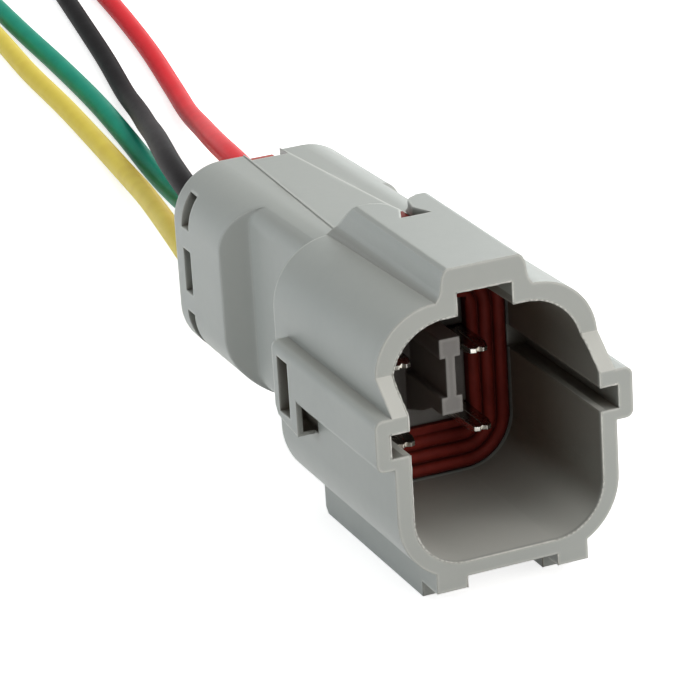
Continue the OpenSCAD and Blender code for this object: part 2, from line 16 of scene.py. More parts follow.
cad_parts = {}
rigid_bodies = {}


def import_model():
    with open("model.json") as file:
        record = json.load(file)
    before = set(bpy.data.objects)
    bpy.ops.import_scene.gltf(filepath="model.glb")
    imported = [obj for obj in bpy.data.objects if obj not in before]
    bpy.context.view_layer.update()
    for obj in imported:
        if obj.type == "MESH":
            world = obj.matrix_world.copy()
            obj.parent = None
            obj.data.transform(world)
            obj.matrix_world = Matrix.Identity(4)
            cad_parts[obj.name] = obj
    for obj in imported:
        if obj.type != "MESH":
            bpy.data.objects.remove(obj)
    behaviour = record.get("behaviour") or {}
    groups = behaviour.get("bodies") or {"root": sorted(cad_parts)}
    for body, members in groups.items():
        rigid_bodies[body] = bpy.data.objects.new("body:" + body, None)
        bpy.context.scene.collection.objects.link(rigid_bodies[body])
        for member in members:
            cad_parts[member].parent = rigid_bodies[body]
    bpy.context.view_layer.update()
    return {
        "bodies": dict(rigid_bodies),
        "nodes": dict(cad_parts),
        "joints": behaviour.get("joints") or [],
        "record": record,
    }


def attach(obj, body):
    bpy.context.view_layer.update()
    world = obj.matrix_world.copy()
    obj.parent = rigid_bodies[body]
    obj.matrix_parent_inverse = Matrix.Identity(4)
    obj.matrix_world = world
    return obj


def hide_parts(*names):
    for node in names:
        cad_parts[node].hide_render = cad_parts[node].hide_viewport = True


LOG = logging.getLogger("connector")
MM = 0.001
Number = Union[int, float]
Triple = tuple[float, float, float]


# ------------------------------------------------------------------ shader expressions


class Value:
    """One output socket on a node bench, with arithmetic on it."""

    def __init__(self, bench: "NodeBench", socket: bpy.types.NodeSocket) -> None:
        """Wraps a socket.

        Args:
            bench: The bench that new nodes are made on.
            socket: The output socket.
        """
        self.bench = bench
        self.socket = socket

    def _math(self, operation: str, *terms: Any, clamp: bool = False) -> "Value":
        """Adds a Math node.

        Args:
            operation: The Math node's operation.
            *terms: Its operands, in order.
            clamp: True keeps the answer from 0 to 1.

        Returns:
            The node's result.
        """
        settings = {"operation": operation, "use_clamp": clamp}
        return self.bench.make("ShaderNodeMath", settings, dict(enumerate(terms)))

    def __add__(self, other: Any) -> "Value":
        """Sum with another value or number."""
        return self._math("ADD", self, other)

    __radd__ = __add__

    def __sub__(self, other: Any) -> "Value":
        """This less another value or number."""
        return self._math("SUBTRACT", self, other)

    def __rsub__(self, other: Any) -> "Value":
        """A number less this."""
        return self._math("SUBTRACT", other, self)

    def __mul__(self, other: Any) -> "Value":
        """Product with another value or number."""
        return self._math("MULTIPLY", self, other)

    __rmul__ = __mul__

    def __abs__(self) -> "Value":
        """This without its sign."""
        return self._math("ABSOLUTE", self)

    def above(self, floor: float) -> "Value":
        """This, or a floor where this is lower.

        Args:
            floor: The lowest answer.

        Returns:
            The greater of the two.
        """
        return self._math("MAXIMUM", self, floor)

    def clamped(self) -> "Value":
        """This, kept from 0 to 1."""
        return self._math("ADD", self, 0.0, clamp=True)

    def spread(self, start: float, end: float) -> "Value":
        """Mask that runs smoothly from 0 at the start of a range to 1 at its end.

        Args:
            start: Where the mask is 0. It may be the higher of the two.
            end: Where the mask is 1.

        Returns:
            The mask.
        """
        smooth = {"interpolation_type": "SMOOTHSTEP"}
        return self.bench.make("ShaderNodeMapRange", smooth, {0: self, 1: start, 2: end})


@dataclass(frozen=True)
class Layer:
    """One layer of fractal noise: blobs per metre, octaves, share of the fine octaves."""

    scale: float
    detail: float
    rough: float
    stretch: Triple | None = None


class NodeBench:
    """A material or a world under construction: makes its nodes and links their sockets."""

    ROUND_SAMPLES = 6
    FLAT_COSINE = 0.985
    EDGE_COSINE = 0.85

    def __init__(self, owner: Any) -> None:
        """Empties the owner's nodes.

        Args:
            owner: The material or world that the nodes belong to.
        """
        owner.use_nodes = True
        self.owner = owner
        self.nodes = owner.node_tree.nodes
        self.links = owner.node_tree.links
        self.nodes.clear()
        self._place: Value | None = None

    def raw(self, kind: str, settings: dict[str, Any], inputs: dict[Any, Any]) -> bpy.types.Node:
        """Makes a node, sets its settings and then feeds its sockets.

        Args:
            kind: The node's type.
            settings: Attributes of the node.
            inputs: Socket name or number to a value, a number, a colour or a vector.

        Returns:
            The node.
        """
        node = self.nodes.new(kind)
        for key, value in settings.items():
            setattr(node, key, value)
        for key, value in inputs.items():
            socket = node.inputs[key]
            if isinstance(value, Value):
                self.links.new(value.socket, socket)
            elif isinstance(value, tuple) and socket.type == "RGBA":
                socket.default_value = (*value, 1.0)
            else:
                socket.default_value = value
        return node

    def make(
        self, kind: str, settings: dict[str, Any], inputs: dict[Any, Any], output: Any = 0
    ) -> Value:
        """Makes a node and hands back one of its outputs.

        Args:
            kind: The node's type.
            settings: Attributes of the node.
            inputs: What its sockets get.
            output: Name or number of the output.

        Returns:
            The output, ready for arithmetic.
        """
        return Value(self, self.raw(kind, settings, inputs).outputs[output])

    def place(self) -> Value:
        """The point on the surface, in the object's own metres."""
        if self._place is None:
            self._place = self.make("ShaderNodeTexCoord", {}, {}, "Object")
        return self._place

    def axis(self, name: str) -> Value:
        """One coordinate of the point on the surface.

        Args:
            name: X, Y or Z.

        Returns:
            The coordinate, in metres.
        """
        return self.make("ShaderNodeSeparateXYZ", {}, {0: self.place()}, name)

    def normal(self) -> Value:
        """The surface's own normal."""
        return self.make("ShaderNodeNewGeometry", {}, {}, "Normal")

    def facing(self, name: str) -> Value:
        """How far the surface faces along one axis.

        Args:
            name: X, Y or Z.

        Returns:
            1 where it faces that way, -1 where it faces the other way.
        """
        return self.make("ShaderNodeSeparateXYZ", {}, {0: self.normal()}, name)

    def ray(self, kind: str) -> Value:
        """Tells one kind of ray from the others.

        Args:
            kind: Name of the Light Path output.

        Returns:
            1 for a ray of that kind, else 0.
        """
        return self.make("ShaderNodeLightPath", {}, {}, kind)

    def noise(self, layer: Layer) -> Value:
        """Fractal noise from 0 to 1.

        Args:
            layer: Its scale, detail and stretch.

        Returns:
            The noise.
        """
        at = self.place()
        if layer.stretch:
            at = self.make("ShaderNodeMapping", {}, {"Vector": at, "Scale": layer.stretch})
        return self.make(
            "ShaderNodeTexNoise",
            {"noise_dimensions": "3D"},
            {"Vector": at, "Scale": layer.scale, "Detail": layer.detail, "Roughness": layer.rough},
            "Fac",
        )

    def tint(self, mask: Value | Number, under: Any, over: Any) -> Value:
        """Mixes two colours.

        Args:
            mask: 0 gives the first, 1 the second.
            under: First colour.
            over: Second colour.

        Returns:
            The mixed colour.
        """
        colours = {"data_type": "RGBA", "blend_type": "MIX"}
        return self.make("ShaderNodeMix", colours, {0: mask, 6: under, 7: over}, 2)

    def either(self, mask: Value, first: Value, second: Value) -> Value:
        """Mixes two vectors.

        Args:
            mask: 0 gives the first, 1 the second.
            first: First vector.
            second: Second vector.

        Returns:
            The mixed vector.
        """
        return self.make("ShaderNodeMix", {"data_type": "VECTOR"}, {0: mask, 4: first, 5: second}, 1)

    def rounded(self, radius: float) -> Value:
        """Normal with its edges rounded.

        Args:
            radius: Radius of the rounding, in metres.

        Returns:
            The normal.
        """
        return self.make("ShaderNodeBevel", {"samples": self.ROUND_SAMPLES}, {"Radius": radius})

    def edges(self, radius: float) -> Value:
        """Mask that is 1 on convex and concave edges and 0 on flats.

        Args:
            radius: Reach of the edge zone, in metres.

        Returns:
            The mask.
        """
        pair = {0: self.rounded(radius), 1: self.normal()}
        cosine = self.make("ShaderNodeVectorMath", {"operation": "DOT_PRODUCT"}, pair, 1)
        return cosine.spread(self.FLAT_COSINE, self.EDGE_COSINE)

    def open_to(self, reach: float, samples: int = 6, alone: bool = False) -> Value:
        """Share of the sky that nothing of the same piece or its neighbours hides.

        Args:
            reach: How far away a neighbour still counts, in metres.
            samples: Rays for each point.
            alone: True counts the piece itself and no neighbour.

        Returns:
            1 in the open, towards 0 in a deep recess.
        """
        settings = {"samples": samples, "only_local": alone}
        return self.make("ShaderNodeAmbientOcclusion", settings, {"Distance": reach}, "AO")

    def relief(self, height: Value, depth: float, strength: float, normal: Value | None = None) -> Value:
        """Turns a height into a normal.

        Args:
            height: Height, from 0 to 1.
            depth: What a height of 1 is, in metres.
            strength: Share of the relief that shows.
            normal: The normal that it starts from; the surface's own if left out.

        Returns:
            The normal.
        """
        inputs: dict[str, Any] = {"Height": height, "Distance": depth, "Strength": strength}
        if normal is not None:
            inputs["Normal"] = normal
        return self.make("ShaderNodeBump", {}, inputs)

    def end(self, shader: Value, kind: str = "ShaderNodeOutputMaterial") -> Any:
        """Feeds a shader to the output.

        Args:
            shader: What the surface or the background shows.
            kind: The output node's type.

        Returns:
            The material or world.
        """
        self.raw(kind, {}, {"Surface": shader})
        return self.owner

    def finish(self, **sockets: Any) -> bpy.types.Material:
        """Ends a material in a Principled shader.

        Args:
            **sockets: Socket name, with spaces as underscores, to what it gets.

        Returns:
            The material.
        """
        named = {key.replace("_", " "): value for key, value in sockets.items()}
        return self.end(self.make("ShaderNodeBsdfPrincipled", {}, named))


# ------------------------------------------------------------------ finishes


@dataclass(frozen=True)
class Finish:
    """What every finish has: a name and its colour."""

    name: str
    base: Triple

    def bench(self) -> NodeBench:
        """Starts a material of this finish's name.

        Returns:
            The bench to build it on.
        """
        return NodeBench(bpy.data.materials.new(self.name))


@dataclass(frozen=True)
class MouldedPlastic(Finish):
    """Filled polyester as it leaves the tool: satin, faintly mottled, with wear and painted highlight on
    its edges and painted shade in creases and recesses.
    """

    shade: Triple
    # Pale colour on edges: wear, and painted highlight.
    edge: Triple
    # Colour of painted shade in creases, recesses and the hood.
    painted_shade: Triple
    rough: float = 0.42
    sheen: float = 0.42
    edge_radius: float = 0.3 * MM
    wear_highlight_reach: float = 2.0
    wear_highlight_share: float = 0.75
    corner_reach: float = 0.7 * MM
    crease_reach: float = 4.5 * MM
    crease_shade_share: float = 0.55
    recess_reach: float = 13.0 * MM
    recess_shade_share: float = 0.9
    relief_depth: float = 0.012 * MM
    soft_zone: tuple[float, float] | None = None
    soft_radius: float = 1.1 * MM
    alone: bool = False
    flow: Layer = Layer(55.0, 4.0, 0.55, (1.0, 0.45, 1.0))
    mottle: Layer = Layer(900.0, 3.0, 0.6)
    grain: Layer = Layer(5200.0, 2.0, 0.5)

    def material(self) -> bpy.types.Material:
        """Builds the material.

        Returns:
            The finished material.
        """
        b = self.bench()
        flow, mottle, grain = b.noise(self.flow), b.noise(self.mottle), b.noise(self.grain)
        cloud = flow.spread(0.3, 0.7)
        body = b.tint(cloud * 0.55 + mottle * 0.3, self.base, self.shade)
        return b.finish(
            Base_Color=self.dressed(b, self.wear_highlight_and_shade(b, body)),
            Roughness=mottle * 0.1 + grain * 0.05 + cloud * 0.05 + (self.rough - 0.1),
            Normal=b.relief(
                grain * 0.35 + mottle * 0.4 + flow * 0.6, self.relief_depth, 0.8, self.rounding(b)
            ),
            Specular_IOR_Level=self.sheen,
        )

    def wear_highlight_and_shade(self, b: NodeBench, body: Value) -> Value:
        """Makes raised edges paler with wear and painted highlight, and paints shade into creases and
        recesses.

        Args:
            b: The bench of the material.
            body: The plain colour.

        Returns:
            The colour with all three tones.
        """
        # Wear and painted highlight on raised edges; painted shade in creases and recesses, from how
        # hidden each point is.
        convex = b.open_to(self.corner_reach, samples=4).spread(0.7, 0.95)
        raised = b.edges(self.edge_radius * self.wear_highlight_reach) * convex
        crease = (1.0 - b.open_to(self.crease_reach, alone=self.alone)).spread(0.18, 0.75)
        hidden = (1.0 - b.open_to(self.recess_reach, samples=8, alone=self.alone)).spread(0.42, 0.92)
        worn_and_highlit = b.tint(raised * self.wear_highlight_share, body, self.edge)
        crease_shaded = b.tint(crease * self.crease_shade_share, worn_and_highlit, self.painted_shade)
        return b.tint(hidden * self.recess_shade_share, crease_shaded, self.painted_shade)

    def rounding(self, b: NodeBench) -> Value:
        """Normal with rounded edges, rounder in the soft zone where the piece has one.

        Args:
            b: The bench of the material.

        Returns:
            The normal.
        """
        normal = b.rounded(self.edge_radius)
        if self.soft_zone is None:
            return normal
        front, rear = self.soft_zone
        along = b.axis("Y")
        zone = along.spread(front - MM, front) * along.spread(rear + MM, rear)
        return b.either(zone, normal, b.rounded(self.soft_radius))

    def dressed(self, b: NodeBench, colour: Value) -> Value:
        """Hook for painted light and shade that only one piece has.

        Args:
            b: The bench of the material.
            colour: The colour so far.

        Returns:
            The colour, here unchanged.
        """
        return colour


@dataclass(frozen=True)
class HousingPlastic(MouldedPlastic):
    """The housing's plastic: painted shade in the hood and beside the bridge, painted highlight on the
    lip, the hood's floor and the spine.
    """

    shell_half: float = 10.7 * MM
    shell_low: float = 3.55 * MM
    shell_high: float = 28.7 * MM
    shell_corner: float = 6.0 * MM
    mouth: float = -29.25 * MM
    cavity_end: float = -9.5 * MM
    hair: float = 0.1 * MM
    flank_inner: tuple[float, float] = (4.55 * MM, 5.15 * MM)
    flank_outer: tuple[float, float] = (7.95 * MM, 6.35 * MM)
    flank_rise: tuple[float, float] = (27.0 * MM, 28.0 * MM)
    line_start: tuple[float, float] = (4.2 * MM, -1.95 * MM)
    line_end: tuple[float, float] = (2.0 * MM, 31.25 * MM)
    line_core: float = 0.15 * MM
    line_half: float = 0.32 * MM
    roof_rise: tuple[float, float] = (26.5 * MM, 27.0 * MM)

    def dressed(self, b: NodeBench, colour: Value) -> Value:
        """Adds painted shade in the cavity and on the bridge's flanks, and painted light on the cavity's
        floor, the lip and the spine.

        Args:
            b: The bench of the material.
            colour: The colour so far.

        Returns:
            The colour with all of them on it.
        """
        wide, along, tall = abs(b.axis("X")), b.axis("Y"), b.axis("Z")
        up, out = b.facing("Z"), b.facing("Y").spread(-0.25, -0.5)
        wall = up.spread(0.8, 0.2)
        inside = self.inside(wide, along, tall) * (1.0 - out)
        depth = along.spread(self.mouth, self.cavity_end)
        # Painted shade deep in the hood and on its walls.
        darker = (depth * 0.6 + wall * 0.55).clamped() * inside
        # Painted light on the hood's floor near the mouth.
        lit_floor = (1.0 - wall) * (1.0 - depth) * inside
        # Painted highlight on the lip, which faces forward and up.
        lip = out * up.spread(0.5, 0.7)
        # Painted shade on the strips beside the bridge.
        flank = self.beside_bridge(wide, tall) * up.spread(0.9, 0.55) * (1.0 - out)
        flank_shaded = b.tint(flank * 0.42, colour, self.painted_shade)
        lit = b.tint((lit_floor * 0.6 + lip * 0.75).clamped(), flank_shaded, self.edge)
        toned = b.tint(darker * 0.9, lit, self.painted_shade)
        # Painted highlight along the roof's spine.
        return b.tint(self.spine_highlight(wide, along, tall) * 0.35, toned, self.edge)

    def inside(self, wide: Value, along: Value, tall: Value) -> Value:
        """Mask of the cavity: inside a round-cornered shell between the walls' two faces.

        Args:
            wide: Distance from the middle plane.
            along: Place along the part.
            tall: Height.

        Returns:
            1 on the cavity's walls, 0 elsewhere.
        """
        centre = (self.shell_low + self.shell_high) / 2
        straight = (self.shell_high - self.shell_low) / 2 - self.shell_corner
        across = (wide - (self.shell_half - self.shell_corner)).above(0.0)
        upward = (abs(tall - centre) - straight).above(0.0)
        squared = across * across + upward * upward
        return (
            squared.spread(self.shell_corner**2, (self.shell_corner - self.hair) ** 2)
            * along.spread(self.mouth + self.hair, self.mouth + 6 * self.hair)
            * along.spread(self.cavity_end + self.hair, self.cavity_end)
        )

    def beside_bridge(self, wide: Value, tall: Value) -> Value:
        """Mask of the two strips beside the latch bridge, where shade is painted.

        Args:
            wide: Distance from the middle plane.
            tall: Height.

        Returns:
            1 on the strips, 0 elsewhere.
        """
        return (
            wide.spread(*self.flank_inner)
            * wide.spread(*self.flank_outer)
            * tall.spread(*self.flank_rise)
        )

    def spine_highlight(self, wide: Value, along: Value, tall: Value) -> Value:
        """Mask of the painted highlight along each side of the roof's raised spine.

        Args:
            wide: Distance from the middle plane.
            along: Place along the part.
            tall: Height.

        Returns:
            1 on the lines, 0 elsewhere.
        """
        (start_x, start_y), (end_x, end_y) = self.line_start, self.line_end
        lean = (start_x - end_x) / (end_y - start_y)
        off = abs(wide + along * lean - (start_x + start_y * lean))
        return (
            off.spread(self.line_half, self.line_core)
            * tall.spread(*self.roof_rise)
            * along.spread(start_y, start_y + MM)
        )


@dataclass(frozen=True)
class Silicone(Finish):
    """Oiled silicone rubber: deep red, soft sheen, with painted shade in its grooves."""

    deep: Triple
    rough: float = 0.38
    sheen: float = 0.35
    # Colour of painted shade in the grooves.
    groove_shade: Triple = (0.05, 0.009, 0.007)
    groove_reach: float = 6.0 * MM
    edge_radius: float = 0.2 * MM
    relief_depth: float = 0.02 * MM
    bloom: Layer = Layer(380.0, 3.0, 0.55)
    film: Layer = Layer(1900.0, 3.0, 0.6)

    def material(self) -> bpy.types.Material:
        """Builds the material.

        Returns:
            The finished material.
        """
        b = self.bench()
        bloom, film = b.noise(self.bloom), b.noise(self.film)
        # Painted shade in the grooves, from how hidden each point is.
        groove = (1.0 - b.open_to(self.groove_reach)).spread(0.35, 0.9)
        clean = b.tint(bloom.spread(0.3, 0.72), self.base, self.deep)
        height = film * 0.6 + bloom * 0.4
        return b.finish(
            Base_Color=b.tint(groove * 0.8, clean, self.groove_shade),
            Roughness=film * 0.16 + bloom * 0.1 + (self.rough - 0.12),
            Normal=b.relief(height, self.relief_depth, 0.7, b.rounded(self.edge_radius)),
            Specular_IOR_Level=self.sheen,
        )


@dataclass(frozen=True)
class TinPlate(Finish):
    """Stamped strip with a tin plating, drawn lengthways: bright edges, and painted shade on the faces
    that look up.
    """

    darker: Triple
    # Colour of painted shade on the faces that look up.
    face: Triple = (0.27, 0.23, 0.19)
    rough: float = 0.24
    edge_radius: float = 0.12 * MM
    relief_depth: float = 0.008 * MM
    draw: Layer = Layer(2600.0, 3.0, 0.6, (1.0, 0.06, 1.0))
    stain: Layer = Layer(700.0, 3.0, 0.55)

    def material(self) -> bpy.types.Material:
        """Builds the material.

        Returns:
            The finished material.
        """
        b = self.bench()
        draw, stain = b.noise(self.draw), b.noise(self.stain)
        bright = b.tint(stain.spread(0.42, 0.75) * 0.7, self.base, self.darker)
        return b.finish(
            # Painted shade on the faces that look up.
            Base_Color=b.tint(b.facing("Z").spread(0.6, 0.95) * 0.9, bright, self.face),
            Metallic=1.0,
            Roughness=draw * 0.14 + stain * 0.1 + (self.rough - 0.1),
            Normal=b.relief(draw, self.relief_depth, 0.6, b.rounded(self.edge_radius)),
        )


@dataclass(frozen=True)
class Insulation(Finish):
    """Extruded wire insulation: smooth and satin, with faint ripples from the die."""

    shade: Triple
    rough: float = 0.5
    sheen: float = 0.12
    relief_depth: float = 0.03 * MM
    ripple: Layer = Layer(240.0, 3.0, 0.5)
    skin: Layer = Layer(2400.0, 3.0, 0.6)
    scuff: Layer = Layer(1500.0, 4.0, 0.65, (1.0, 0.25, 1.0))

    def material(self) -> bpy.types.Material:
        """Builds the material.

        Returns:
            The finished material.
        """
        b = self.bench()
        ripple, skin = b.noise(self.ripple), b.noise(self.skin)
        scuff = b.noise(self.scuff).spread(0.62, 0.78)
        marks = ripple.spread(0.3, 0.75) * 0.7 + scuff * 0.3
        return b.finish(
            Base_Color=b.tint(marks, self.base, self.shade),
            Roughness=skin * 0.12 + scuff * 0.15 + (self.rough - 0.06),
            Normal=b.relief(ripple * 0.8 + skin * 0.2, self.relief_depth, 0.6),
            Specular_IOR_Level=self.sheen,
        )


@dataclass(frozen=True)
class BareCopper(Finish):
    """Drawn copper strand, tarnished a little between its turns."""

    tarnish: Triple
    rough: float = 0.3
    relief_depth: float = 0.004 * MM
    film: Layer = Layer(800.0, 4.0, 0.6)
    draw: Layer = Layer(4200.0, 2.0, 0.5)

    def material(self) -> bpy.types.Material:
        """Builds the material.

        Returns:
            The finished material.
        """
        b = self.bench()
        film, draw = b.noise(self.film), b.noise(self.draw)
        return b.finish(
            Base_Color=b.tint(film.spread(0.4, 0.8), self.base, self.tarnish),
            Metallic=1.0,
            Roughness=film * 0.2 + draw * 0.08 + (self.rough - 0.1),
            Normal=b.relief(draw, self.relief_depth, 0.5),
        )


# Edge colours are wear and painted highlight; recess colours are painted shade.
HOUSING_GREY = HousingPlastic(
    "moulded_light_grey",
    base=(0.46, 0.48, 0.45),
    shade=(0.405, 0.43, 0.41),
    edge=(0.76, 0.77, 0.72),
    painted_shade=(0.125, 0.10, 0.072),
    soft_zone=(12.6 * MM, 17.6 * MM),
    alone=True,
)
# The flash's pale colour is painted highlight.
FLASH_HIGHLIGHT_GREY = MouldedPlastic(
    "moulded_flash_highlight",
    base=(0.80, 0.81, 0.76),
    shade=(0.70, 0.71, 0.66),
    edge=(0.84, 0.85, 0.80),
    painted_shade=(0.34, 0.31, 0.26),
)
HOLDER_GREY = MouldedPlastic(
    "moulded_holder_grey",
    base=(0.26, 0.25, 0.24),
    shade=(0.22, 0.215, 0.205),
    edge=(0.46, 0.45, 0.43),
    painted_shade=(0.075, 0.06, 0.05),
    rough=0.46,
    edge_radius=0.42 * MM,
)
COVER_GREY = MouldedPlastic(
    "moulded_cover_grey",
    base=(0.36, 0.375, 0.36),
    shade=(0.33, 0.34, 0.33),
    edge=(0.44, 0.45, 0.43),
    painted_shade=(0.10, 0.08, 0.06),
    rough=0.48,
)
RING_RED = Silicone(
    "silicone_dark_red",
    base=(0.28, 0.029, 0.019),
    deep=(0.21, 0.021, 0.014),
    rough=0.55,
    sheen=0.18,
)
MAT_RED = Silicone(
    "silicone_orange_red", base=(0.56, 0.075, 0.04), deep=(0.45, 0.055, 0.03), rough=0.4
)
CONTACT_TIN = TinPlate("tin_plate", base=(0.80, 0.78, 0.72), darker=(0.55, 0.50, 0.42))
COPPER = BareCopper("bare_copper", base=(0.86, 0.45, 0.26), tarnish=(0.55, 0.26, 0.14))


class LeadColour(Enum):
    """Insulation colours of the four leads."""

    BLACK = Insulation("insulation_black", (0.018, 0.016, 0.017), (0.026, 0.024, 0.025), sheen=0.02)
    RED = Insulation("insulation_red", (0.90, 0.028, 0.04), (0.80, 0.024, 0.034))
    YELLOW = Insulation("insulation_yellow", (0.90, 0.72, 0.115), (0.82, 0.62, 0.09))
    GREEN = Insulation("insulation_green", (0.007, 0.32, 0.21), (0.006, 0.26, 0.17))


# ------------------------------------------------------------------ meshes


def show(name: str, data: Any, material: bpy.types.Material | None = None) -> bpy.types.Object:
    """Makes an object of some data and links it to the scene.

    Args:
        name: The object's name.
        data: Its mesh, curve, lamp or camera.
        material: Its material, for data that has one.

    Returns:
        The object.
    """
    if material is not None:
        data.materials.append(material)
    piece = bpy.data.objects.new(name, data)
    bpy.context.scene.collection.objects.link(piece)
    return piece


@dataclass
class Shell:
    """Corners and faces of a mesh as it grows."""

    verts: list[Vector] = field(default_factory=list)
    faces: list[tuple[int, ...]] = field(default_factory=list)

    def tube(self, base: int, rings: int, sides: int) -> None:
        """Adds the faces between rings of corners that follow each other.

        Args:
            base: Number of the first ring's first corner.
            rings: How many gaps between rings there are.
            sides: Corners of a ring.
        """
        for ring in range(rings):
            for side in range(sides):
                after = (side + 1) % sides
                a, b = base + ring * sides, base + (ring + 1) * sides
                self.faces.append((a + side, a + after, b + after, b + side))

    def mesh(self, name: str) -> bpy.types.Mesh:
        """Makes a smooth mesh of the corners and faces.

        Args:
            name: The mesh's name.

        Returns:
            The mesh.
        """
        mesh = bpy.data.meshes.new(name)
        mesh.from_pydata([tuple(v) for v in self.verts], [], self.faces)
        mesh.shade_smooth()
        return mesh


def around(angle: float) -> Vector:
    """Unit vector at an angle round the Z axis.

    Args:
        angle: The angle, in radians.

    Returns:
        The vector.
    """
    return Vector((math.cos(angle), math.sin(angle), 0.0))


# ------------------------------------------------------------------ leads


@dataclass
class StrandBundle:
    """Copper strands of one core: a straight one in the middle and the others wound round it."""

    radius: float
    count: int = 7
    overlap: float = 1.02
    turns: float = 0.55
    stagger: float = 0.012
    rings: int = 16
    sides: int = 10
    shell: Shell = field(default_factory=Shell)

    def sweep(self, origin: Vector, ahead: Vector, reach: float) -> None:
        """Adds all strands along one straight stretch.

        Args:
            origin: Where the stretch starts.
            ahead: Its direction.
            reach: Its length.
        """
        turn = ahead.to_track_quat("Z", "Y").to_matrix()
        wire = self.radius / 3 * self.overlap
        for index in range(self.count):
            base = len(self.shell.verts)
            for ring in range(self.rings + 1):
                centre = self.centre(index, ring / self.rings, reach, self.radius - wire)
                for side in range(self.sides):
                    rim = around(math.tau * side / self.sides) * wire
                    self.shell.verts.append(origin + turn @ (centre + rim))
            self.shell.tube(base, self.rings, self.sides)
            last = base + self.rings * self.sides
            self.shell.faces.append(tuple(range(last, last + self.sides)))

    def centre(self, index: int, share: float, reach: float, orbit: float) -> Vector:
        """Middle of one strand at one place along the stretch.

        Args:
            index: Which strand; 0 is the straight one.
            share: Place along the stretch, from 0 to 1.
            reach: Length of the stretch.
            orbit: Distance of the outer strands from the middle.

        Returns:
            The point, with +Z ahead.
        """
        centre = Vector((0.0, 0.0, share * reach))
        if index:
            centre += around(math.tau * (index / (self.count - 1) + self.turns * share)) * orbit
            centre.z *= 1.0 - self.stagger * (index % 3)
        return centre


@dataclass
class Lead:
    """One insulated lead: a smooth curve from its crimp to its bare, stranded end."""

    colour: LeadColour
    route: list[Triple]
    diameter: float = 2.7 * MM
    core_diameter: float = 1.2 * MM
    bare: float = 6.5 * MM
    crimped: float = 4.6 * MM
    exit_y: float = 28.05 * MM
    per_step: int = 2
    side_steps: int = 7
    length_steps: int = 6

    @property
    def tag(self) -> str:
        """The colour's name in lower case."""
        return self.colour.name.lower()

    def points(self) -> list[Vector]:
        """The route's own points, in metres."""
        return [Vector(p) * MM for p in self.route]

    def sampled(self) -> list[tuple[Vector, Vector]]:
        """Points and tangents at even steps of the smooth curve through the route.

        Returns:
            Position and derivative by step, as many as the spline gets points.
        """
        p = self.points()
        last = len(p) - 1
        out = []
        for i in range(last):
            a, b, c, d = p[max(i - 1, 0)], p[i], p[i + 1], p[min(i + 2, last)]
            m0, m1 = (c - a) / 2, (d - b) / 2
            for k in range(self.per_step + (i == last - 1)):
                t = k / self.per_step
                point = (
                    (2 * t**3 - 3 * t**2 + 1) * b
                    + (t**3 - 2 * t**2 + t) * m0
                    + (3 * t**2 - 2 * t**3) * c
                    + (t**3 - t**2) * m1
                )
                slope = (
                    (6 * t**2 - 6 * t) * b
                    + (3 * t**2 - 4 * t + 1) * m0
                    + (6 * t - 6 * t**2) * c
                    + (3 * t**2 - 2 * t) * m1
                )
                out.append((point, slope / self.per_step))
        return out

    def length(self) -> float:
        """Length of the insulated lead along its curve, in metres."""
        line = [point for point, _ in self.sampled()]
        return sum((b - a).length for a, b in zip(line, line[1:]))

    def build_insulation(self) -> bpy.types.Object:
        """Makes the insulated lead as one open spline.

        Returns:
            The curve object.
        """
        data = bpy.data.curves.new(f"lead_{self.tag}_curve", "CURVE")
        data.dimensions = "3D"
        data.bevel_depth = self.diameter / 2
        data.bevel_resolution = self.side_steps
        data.resolution_u = self.length_steps
        data.use_fill_caps = True
        spline = data.splines.new("BEZIER")
        samples = self.sampled()
        spline.bezier_points.add(len(samples) - 1)
        for knot, (point, slope) in zip(spline.bezier_points, samples):
            knot.handle_left_type = knot.handle_right_type = "FREE"
            knot.co = point
            knot.handle_left = point - slope / 3
            knot.handle_right = point + slope / 3
        return show(f"insulated_lead_{self.tag}", data, self.colour.value.material())

    def build_strands(self) -> bpy.types.Object:
        """Makes the twisted copper strands of the bare end, and the stub in the crimp.

        Returns:
            The mesh object.
        """
        tip, slope = self.sampled()[-1]
        bundle = StrandBundle(self.core_diameter / 2)
        bundle.sweep(tip, slope.normalized(), self.bare)
        bundle.sweep(self.points()[0], Vector((0.0, -1.0, 0.0)), self.crimped)
        mesh = bundle.shell.mesh(f"strands_{self.tag}_mesh")
        return show(f"copper_strands_{self.tag}", mesh, COPPER.material())

    def build(self) -> None:
        lead = self.build_insulation()
        strands = self.build_strands()
        for piece, node, slot in (
            (lead, f"lead_{self.tag}", f"{self.tag}_insulation"),
            (strands, f"core_{self.tag}", "copper"),
        ):
            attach(piece, "root")
            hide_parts(node)
        first = self.points()[0]
        self.length()
        LOG.info("lead %s: %.1f mm long", self.tag, self.length() / MM)


@dataclass(frozen=True)
class Run:
    """A lead's side and row in the barrel, and its free points beyond, in millimetres."""

    side: int
    upper: bool
    points: tuple[Triple, ...]


